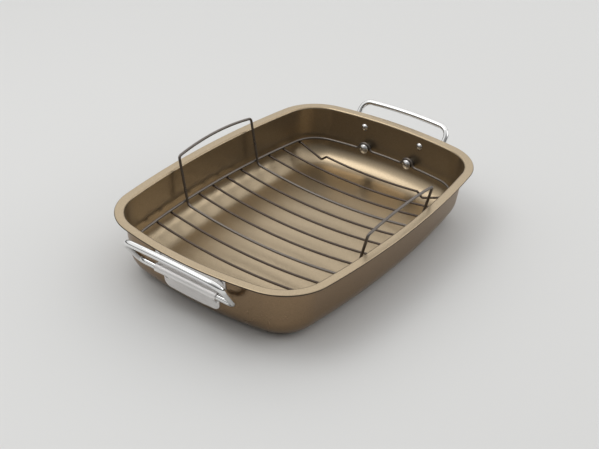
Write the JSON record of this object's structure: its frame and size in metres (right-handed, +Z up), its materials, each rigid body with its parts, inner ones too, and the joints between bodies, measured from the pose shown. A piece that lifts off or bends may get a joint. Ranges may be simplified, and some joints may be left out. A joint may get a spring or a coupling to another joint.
{
  "type": "roasting pan",
  "caption": "Rectangular roasting pan with bowed sides, a hemmed flange, fold-down rod handles on riveted brackets, and a lift-out wire rack that hangs on studs.",
  "frame": {"origin": "centre of the flat base, on the surface that the pan stands on", "axes": "+Z up; +X along the length towards the far handle; +Y along the width, towards the left side seen from the near handle"},
  "size_m": [0.4766, 0.308, 0.1015],
  "materials": {
    "pan_coating": "satin metallic non-stick coating, champagne gold",
    "bracket_steel": "satin stainless steel",
    "rivet_steel": "polished stainless steel",
    "handle_steel": "polished stainless steel rod",
    "rack_wire": "satin non-stick coated wire, dark grey"
  },
  "bodies": {
    "root": {"pan_body": "pan_coating", "near_bracket": "bracket_steel", "far_bracket": "bracket_steel", "near_bracket_rivets": "rivet_steel", "far_bracket_rivets": "rivet_steel", "near_rack_studs": "rivet_steel", "far_rack_studs": "rivet_steel"},
    "near_handle": {"near_handle": "handle_steel"},
    "far_handle": {"far_handle": "handle_steel"},
    "rack": {"rack_ring": "rack_wire", "cross_wire_1": "rack_wire", "cross_wire_2": "rack_wire", "cross_wire_3": "rack_wire", "cross_wire_4": "rack_wire", "cross_wire_5": "rack_wire", "cross_wire_6": "rack_wire", "cross_wire_7": "rack_wire", "cross_wire_8": "rack_wire", "near_end_wire": "rack_wire", "far_end_wire": "rack_wire", "lifting_wire": "rack_wire"}
  },
  "joints": [
    {"name": "near_handle_hinge", "type": "hinge", "parent": "root", "child": "near_handle", "pos_m": [-0.2073, 0, 0.047], "axis": [0, -1, 0], "range_deg": [-17, 118]},
    {"name": "far_handle_hinge", "type": "hinge", "parent": "root", "child": "far_handle", "pos_m": [0.2073, 0, 0.047], "axis": [0, 1, 0], "range_deg": [-17, 118]},
    {"name": "rack_lift", "type": "slide", "parent": "root", "child": "rack", "axis": [0, 0, 1], "range_m": [0, 0.09]}
  ]
}
